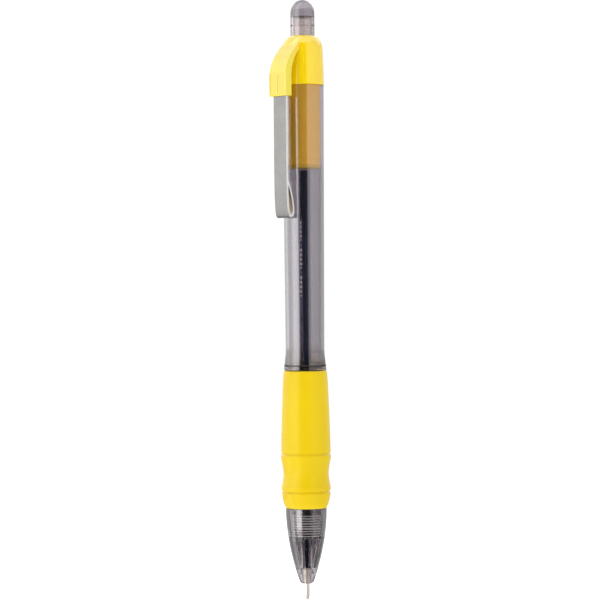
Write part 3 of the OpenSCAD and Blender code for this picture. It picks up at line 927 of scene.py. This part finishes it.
# ---------------------------------------------------------------- pocket clip
clip_w = CLIP_HI.x - CLIP_LO.x
clip_front, clip_back = 7.84, 7.29
clip_outer = [
    (clip_front, CLIP_HI.z), (clip_front, 114.0), (clip_front, 106.0), (7.83, 102.0), (7.80, 99.0),
    (7.74, 96.5), (7.64, 94.6), (7.52, 93.2), (7.38, 92.4), (7.16, 91.85), (6.85, 91.56), (6.45, 91.5),
    (6.02, 91.6), (5.68, 91.84), (5.44, 92.25), (5.32, 92.8), (5.30, 93.4), (5.36, 94.2), (5.52, 95.2),
    (5.78, 96.4), (6.12, 97.6), (6.52, 98.8), (6.95, 99.8), (7.20, 100.3), (clip_back, 101.2),
    (clip_back, 106.0), (clip_back, 114.0), (clip_back, CLIP_HI.z),
]
clip_hole = [
    (7.26, 99.0), (7.23, 97.5), (7.17, 96.0), (7.08, 94.6), (6.97, 93.4), (6.85, 92.75), (6.66, 92.3),
    (6.40, 92.12), (6.14, 92.22), (5.96, 92.6), (5.88, 93.2), (5.90, 93.9), (6.04, 95.0), (6.28, 96.1),
    (6.60, 97.2), (6.96, 98.2), (7.16, 98.8),
]
clip = side_solid("clip_strip", clip_outer, clip_w, clip_hole)
bevel_edges(clip, 0.09, 60.0)
finish_mesh(clip, "clip", "pocket_clip", CLIP_METAL, smooth=32.0, flat=True)

# ---------------------------------------------------------------- push button
button_r = (BUTTON_HI.x - BUTTON_LO.x) / 2
button_bore_r = 2.3
button_roof_z = 140.02
dome_z = 140.6
dome_h = BUTTON_HI.z - dome_z
button_profile = rounded([
    (button_bore_r, 138.0), (button_bore_r, BUTTON_LO.z, 0.1), (button_r, BUTTON_LO.z, 0.15),
    (button_r, 126.0),
])
button_profile += [(button_r, z) for z in (130.0, 134.0, 138.0)]
button_profile += [
    (button_r * math.cos(math.radians(a)), dome_z + dome_h * math.sin(math.radians(a)))
    for a in range(0, 90, 5)
]
button_profile += [(0, BUTTON_HI.z), (0, button_roof_z)]
button_profile += [(button_bore_r * s, button_roof_z - 0.12 * s**4) for s in (0.3, 0.6, 0.8, 0.92, 1.0)]
button = lathe("button_shell", button_profile, 2 * SMALL_SEGMENTS)
finish_mesh(button, "button", "push_button", BUTTON_SMOKE)

# ---------------------------------------------------------------- cam parts keep their CAD meshes
for node, material in (("plunger", PLUNGER_PALE), ("rotor", CAM_PLASTIC)):
    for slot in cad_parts[node].material_slots:
        slot.link = "OBJECT"
        slot.material = material

# ---------------------------------------------------------------- studio, metres
view = math.radians(45.0)
to_camera = Vector((math.sin(view), -math.cos(view), 0))
to_right = Vector((math.cos(view), math.sin(view), 0))
scene = bpy.context.scene

# how bright a mirror-like surface sees the studio, level with the eye and below it, at each angle in degrees
# from the camera towards its right
BRIGHTEST = 5.0
STUDIO = [
    (-180, 0.75), (-135, 1.4), (-105, 2.2), (-90, 2.1), (-77, 2.8), (-67, 4.2), (-57, 4.2), (-49, 3.9),
    (-41, 3.5), (-35, 2.6), (-31, 0.3), (-28, 0.08), (18, 0.06), (23, 1.0), (80, 1.0), (100, 0.9),
    (180, 0.75),
]
STUDIO_LOW = [
    (-180, 0.5), (-108, 0.5), (-104, 2.1), (-80, 2.1), (-74, 0.3), (-62, 1.2), (-55, 4.2), (-34, 4.2),
    (-29, 2.4), (-25, 0.1), (16, 0.06), (24, 0.15), (80, 0.25), (100, 0.5), (180, 0.5),
]


def studio_ring(n, azimuth, stops):
    """Brightness all round the pen, from a list of angles and levels."""
    ramp = n.add("ShaderNodeValToRGB")
    for angle, _ in stops[1:-1]:
        ramp.color_ramp.elements.new((angle + 180) / 360)
    for element, (_, level) in zip(ramp.color_ramp.elements, stops):
        element.color = (level / BRIGHTEST,) * 3 + (1.0,)
    n.put(ramp.inputs["Fac"], n.span(azimuth, 0.0, 1.0, -math.pi, math.pi))
    return n.product(ramp.outputs["Color"], BRIGHTEST)


def studio_world():
    """White behind the pen, an even light on matt surfaces, and a painted studio for mirror-like ones: two
    rings of panels, a ceiling and a white table. Up is the direction's height, from -1 to 1."""
    backdrop, matt_light, ceiling_light = 1.03, 0.38, 1.8
    n = Nodes(bpy.data.worlds.new("studio"), "ShaderNodeOutputWorld", "Generated")
    azimuth = n.math("ARCTAN2", n.dot(to_right), n.dot(to_camera))
    up = n.dot((0, 0, 1))

    eye_level = n.span(up, 0.0, 1.0, -0.08, -0.03)
    panels = n.math(
        "ADD", n.product(studio_ring(n, azimuth, STUDIO), eye_level),
        n.product(studio_ring(n, azimuth, STUDIO_LOW), n.rest_of(eye_level)))
    # the panels fade out near the table, except far to the left
    fade = n.math("MAXIMUM", n.span(up, 0.25, 1.0, -0.32, -0.26), n.below(azimuth, math.radians(-76)))
    # the ceiling comes lower behind the pen
    behind = n.span(n.math("ABSOLUTE", azimuth), 0.0, 0.35, math.radians(95), math.radians(112))
    ceiling = n.product(n.span(n.math("ADD", up, behind), 0.0, 1.0, 0.60, 0.66), ceiling_light)
    table = n.span(up, 0.0, 1.0, -0.64, -0.72)
    mirrored = n.math("MAXIMUM", n.product(panels, fade), n.math("MAXIMUM", ceiling, table))

    rays = n.add("ShaderNodeLightPath").outputs
    straight_through = n.product(rays["Is Transmission Ray"], n.below(rays["Glossy Depth"], 0.5))
    seen = n.math("MAXIMUM", rays["Is Camera Ray"], straight_through)
    is_mirror_ray = n.rest_of(n.math("MAXIMUM", seen, rays["Is Diffuse Ray"]))
    lit = n.math("ADD", n.product(rays["Is Diffuse Ray"], matt_light), n.product(is_mirror_ray, mirrored))
    strength = n.math("ADD", n.product(seen, backdrop), lit)
    return n.surface(n.shader("ShaderNodeBackground", Color=WHITE, Strength=strength))


def soft_lamp(name, angle, width, low, high, radiance, distance=0.6, tilt=0.0):
    """Soft lamp between two heights, seen from the pen at an angle, and tilted down by a number of degrees.
    It lights matt surfaces only, since what mirrors see is painted in the world."""
    a = math.radians(angle)
    away = to_camera * math.cos(a) + to_right * math.sin(a)
    lamp = bpy.data.lights.new(name, "AREA")
    lamp.shape = "RECTANGLE"
    lamp.size = width
    lamp.size_y = high - low
    lamp.energy = radiance * math.pi * width * (high - low)
    obj = bpy.data.objects.new(name, lamp)
    obj.location = away * distance + Vector((0, 0, (low + high) / 2))
    obj.rotation_mode = "QUATERNION"
    backwards = away + Vector((0, 0, math.tan(math.radians(tilt))))
    obj.rotation_quaternion = backwards.to_track_quat("Z", "Y")
    obj.visible_camera = False
    obj.visible_transmission = False
    obj.visible_glossy = False
    scene.collection.objects.link(obj)


def floor_material():
    """Pale paper that glows a little. Mirror-like surfaces look through it."""
    n = Nodes(bpy.data.materials.new("floor_paper"))
    tone = n.mix(n.noise(12.0), (0.93, 0.93, 0.93, 1.0), (0.9, 0.9, 0.9, 1.0))
    paper = n.shader(
        "ShaderNodeBsdfPrincipled", Base_Color=tone, Roughness=0.9, Specular_IOR_Level=0.0,
        Emission_Color=WHITE, Emission_Strength=0.75)
    mirrored = n.above(n.add("ShaderNodeLightPath").outputs["Glossy Depth"], 0.5)
    return n.surface(n.mix_shader(mirrored, paper, n.shader("ShaderNodeBsdfTransparent")))


scene.world = studio_world()
soft_lamp("left_strip", -50.0, 0.485, -0.22, 0.50, 0.19)
soft_lamp("right_panel", 62.0, 0.95, -0.24, 0.57, 0.36)
soft_lamp("overhead", 0.0, 0.9, 0.5, 0.9, 0.45, distance=0.35, tilt=65.0)

floor_bm = bmesh.new()
bmesh.ops.create_grid(floor_bm, x_segments=2, y_segments=2, size=3.0)
floor = mesh_object("floor", floor_bm)
floor.location.z = -0.35
floor.data.materials.append(floor_material())
floor.visible_glossy = False

# ---------------------------------------------------------------- camera, metres
camera_distance = 0.555
frame_width = 0.144
sensor_width = 36.0
pen_lean = math.radians(0.47)
aim = to_right * -0.00112 + Vector((0, 0, 0.07193))

camera_data = bpy.data.cameras.new("camera")
camera_data.sensor_width = sensor_width
camera_data.lens = sensor_width * camera_distance / frame_width
camera_data.clip_start = 0.01
camera_data.clip_end = 20.0
camera = bpy.data.objects.new("camera", camera_data)
scene.collection.objects.link(camera)
camera.location = aim + to_camera * camera_distance
camera.rotation_mode = "QUATERNION"
level = to_camera.to_track_quat("Z", "Y").to_matrix()
camera.rotation_quaternion = (Matrix.Rotation(-pen_lean, 3, to_camera) @ level).to_quaternion()
scene.camera = camera
scene.view_settings.view_transform = "Standard"
